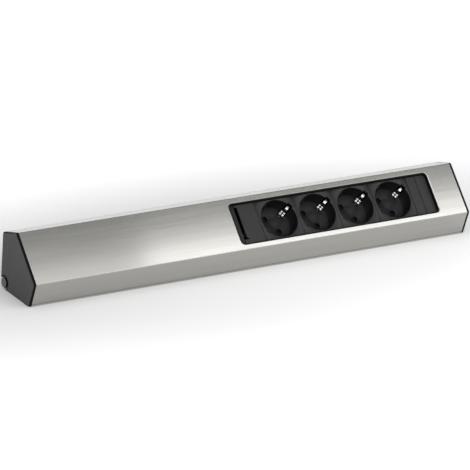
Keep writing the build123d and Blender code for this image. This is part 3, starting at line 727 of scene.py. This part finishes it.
def screwTree():
    # the head lies below the origin, the threaded shank above it
    form = screwShape
    tree = Tree("screw", screwSizes)
    size = tree.entry
    shankMesh = tree.add("GeometryNodeMeshCylinder", {
        "Vertices": form["shankSides"], "Radius": size["Shank Radius"], "Depth": size["Shank Length"],
    })
    shank = tree.moved(shankMesh, tree.times(size["Shank Length"], 0.5))
    threadRun = tree.times(size["Shank Length"], form["threadRun"])
    spiral = tree.add("GeometryNodeCurveSpiral", {
        "Resolution": form["threadSteps"],
        "Rotations": tree.maths("DIVIDE", threadRun, size["Pitch"]),
        "Height": threadRun,
        "Start Radius": size["Shank Radius"],
        "End Radius": size["Shank Radius"],
    })
    ridge = tree.add("GeometryNodeCurvePrimitiveCircle", {
        "Resolution": 3, "Radius": tree.times(size["Pitch"], form["ridge"]),
    })
    threadMesh = tree.add("GeometryNodeCurveToMesh", {
        "Curve": spiral, "Profile Curve": ridge, "Fill Caps": True,
    })
    thread = tree.moved(threadMesh, tree.times(size["Shank Length"], form["threadStart"]))
    headMesh = tree.add("GeometryNodeMeshCone", {
        "Vertices": form["headSides"],
        "Radius Top": size["Head Radius"],
        "Radius Bottom": tree.times(size["Head Radius"], form["headTaper"]),
        "Depth": size["Head Height"],
    })
    sunk = tree.times(size["Head Height"], -1.0)
    reach = tree.times(size["Head Radius"], form["slotReach"])
    crossReach = tree.maths("MAXIMUM", tree.times(reach, size["Cross"]), form["leastSlot"])
    slots = [
        tree.add("GeometryNodeMeshCube", {"Size": tree.vector(*sides, size["Head Height"])})
        for sides in ((reach, size["Recess Width"]), (size["Recess Width"], crossReach))
    ]
    head = tree.without(tree.moved(headMesh, sunk), *[tree.moved(slot, sunk) for slot in slots])
    tree.close(tree.joined(shank, thread, head))
    return tree.group


def springTree():
    tree = Tree("coilSpring", ("Radius", "Wire Radius", "Height", "Turns"))
    size = tree.entry
    coil = tree.add("GeometryNodeCurveSpiral", {
        "Resolution": 40, "Rotations": size["Turns"], "Height": size["Height"],
        "Start Radius": size["Radius"], "End Radius": size["Radius"],
    })
    wire = tree.add("GeometryNodeCurvePrimitiveCircle", {"Resolution": 10, "Radius": size["Wire Radius"]})
    tree.close(tree.add("GeometryNodeCurveToMesh", {"Curve": coil, "Profile Curve": wire, "Fill Caps": True}))
    return tree.group


grownAngle = 40  # a screw's or spring's edges sharper than this stay sharp


def grow(tree, name, places, direction, finish, sizes):
    # the tree's result as a plain mesh, one copy at each place, its Z along the direction
    seeds = bpy.data.meshes.new(name + "Places")
    seeds.from_pydata([tuple(place) for place in places], [], [])
    carrier = bpy.data.objects.new(name + "Places", seeds)
    bpy.context.scene.collection.objects.link(carrier)
    modifier = carrier.modifiers.new("grow", "NODES")
    modifier.node_group = tree
    values = dict(sizes)
    values["Turn"] = Vector(direction).to_track_quat("Z", "Y").to_euler()
    values["Finish"] = finishes[finish]
    for item in tree.interface.items_tree:
        if item.in_out == "INPUT" and item.name in values:
            modifier[item.identifier] = values[item.name]
    depsgraph = bpy.context.evaluated_depsgraph_get()
    mesh = bpy.data.meshes.new_from_object(carrier.evaluated_get(depsgraph))
    mesh.name = name
    bpy.data.objects.remove(carrier)
    smoothFaces(mesh, grownAngle)
    return mesh


screwLook = {
    "module": {
        "Shank Radius": 0.00095, "Shank Length": 0.015, "Head Radius": 0.0024, "Head Height": 0.0016,
        "Recess Width": 0.0005, "Pitch": 0.0010, "Cross": 1.0,
    },
    "clamp": {
        "Shank Radius": 0.00095, "Shank Length": 0.0040, "Head Radius": 0.0022, "Head Height": 0.0015,
        "Recess Width": 0.0005, "Pitch": 0.0009, "Cross": 1.0,
    },
    "terminal": {
        "Shank Radius": 0.0010, "Shank Length": 0.0083, "Head Radius": 0.0019, "Head Height": 0.0022,
        "Recess Width": 0.0005, "Pitch": 0.0009, "Cross": 0.0,
    },
    "bond": {
        "Shank Radius": 0.0017, "Shank Length": 0.0024, "Head Radius": 0.0038, "Head Height": 0.0024,
        "Recess Width": 0.0008, "Pitch": 0.0007, "Cross": 1.0,
    },
    "modulePosts": ((-17.0, 17.4), (17.0, -17.4)),  # from each socket's middle, in millimetres
    "moduleSeat": 0.0245,
    "terminalCount": 3,
}


def makeModuleScrews(tree):
    places = []
    for number in range(1, socketCount + 1):
        seat = Vector(mounts[f"socket_{number}"]["pos_m"]) - slope * screwLook["moduleSeat"]
        places += [seat + (along * x + up * y) * mm for x, y in screwLook["modulePosts"]]
    mesh = grow(tree, "moduleScrews", places, slope, "zinc", screwLook["module"])
    newPiece("moduleScrews", mesh, "housing", "zinc_steel", "module_screws")


def makeTerminalScrews(tree):
    look = screwLook["terminal"]
    low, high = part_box("terminal_screws")
    radius = look["Head Radius"]
    step = (high.x - low.x - 2 * radius) / (screwLook["terminalCount"] - 1)
    seat = low.y + look["Head Height"]
    middle = (low.z + high.z) / 2
    places = [(low.x + radius + step * i, seat, middle) for i in range(screwLook["terminalCount"])]
    mesh = grow(tree, "terminalScrews", places, (0, 1, 0), "zinc", look)
    newPiece("terminalScrews", mesh, "housing", "zinc_steel", "terminal_screws")


def makeClampScrews(tree):
    look = screwLook["clamp"]
    low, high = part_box("clamp_screws")
    radius = look["Head Radius"]
    seat = high.z - look["Head Height"]
    places = [((low.x + high.x) / 2, y, seat) for y in (low.y + radius, high.y - radius)]
    mesh = grow(tree, "clampScrews", places, (0, 0, -1), "zinc", look)
    newPiece("clampScrews", mesh, "housing", "zinc_steel", "clamp_screws")


def makeBondScrew(tree):
    look = screwLook["bond"]
    low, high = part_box("bond_screw")
    place = ((low.x + high.x) / 2, low.y + look["Head Height"], (low.z + high.z) / 2)
    mesh = grow(tree, "bondScrew", [place], (0, 1, 0), "zinc", look)
    newPiece("bondScrew", mesh, "housing", "zinc_steel", "bond_screw")


springLook = {"Radius": 0.00275, "Wire Radius": 0.00025, "Height": 0.0021, "Turns": 3.0}
springDepth = 0.02445  # of the spring's foot, below the socket's plate


def makeSprings():
    tree = springTree()
    for number in range(1, socketCount + 1):
        foot = Vector(mounts[f"socket_{number}"]["pos_m"]) - slope * springDepth
        mesh = grow(tree, f"shutterSpring_{number}", [foot], slope, "spring", springLook)
        newPiece(f"shutterSpring_{number}", mesh, "housing", "spring_steel", f"shutter_spring_{number}")


# ---- floor

def makeFloor():
    mesh = bpy.data.meshes.new("floor")
    reach = floorLook["reach"]
    low = cadBox[0].z
    corners = [(-reach, -reach, low), (reach, -reach, low), (reach, reach, low), (-reach, reach, low)]
    mesh.from_pydata(corners, [], [(0, 1, 2, 3)])
    mesh.materials.append(floorPaper())
    floor = bpy.data.objects.new("floor", mesh)
    bpy.context.scene.collection.objects.link(floor)


# ---- the scene

makeCamera()
makeWorld()
for lightName, lightSetting in lights.items():
    makeLight(lightName, lightSetting)
dressNodes()
for capSide in ("left", "right"):
    makeEndCap(capSide)
makeFitting("outlet_plug", "outletPlug")
makeFitting("cord_gland", "cordGland")
print("caps and fittings made")
for socketNumber in range(1, socketCount + 1):
    makeSocket(socketNumber)
    makeEarthContact(socketNumber)
print("sockets and earth contacts made")
makeBlank("blank_module_left", "blankLeft")
makeBlank("spacer_blank", "spacerBlank")
makeBlank("blank_module_right", "blankRight")
growScrew = screwTree()
makeModuleScrews(growScrew)
makeTerminalScrews(growScrew)
makeClampScrews(growScrew)
makeBondScrew(growScrew)
makeSprings()
print("blanks, screws and springs made")
makeFloor()
bpy.context.scene.view_settings.view_transform = "Standard"
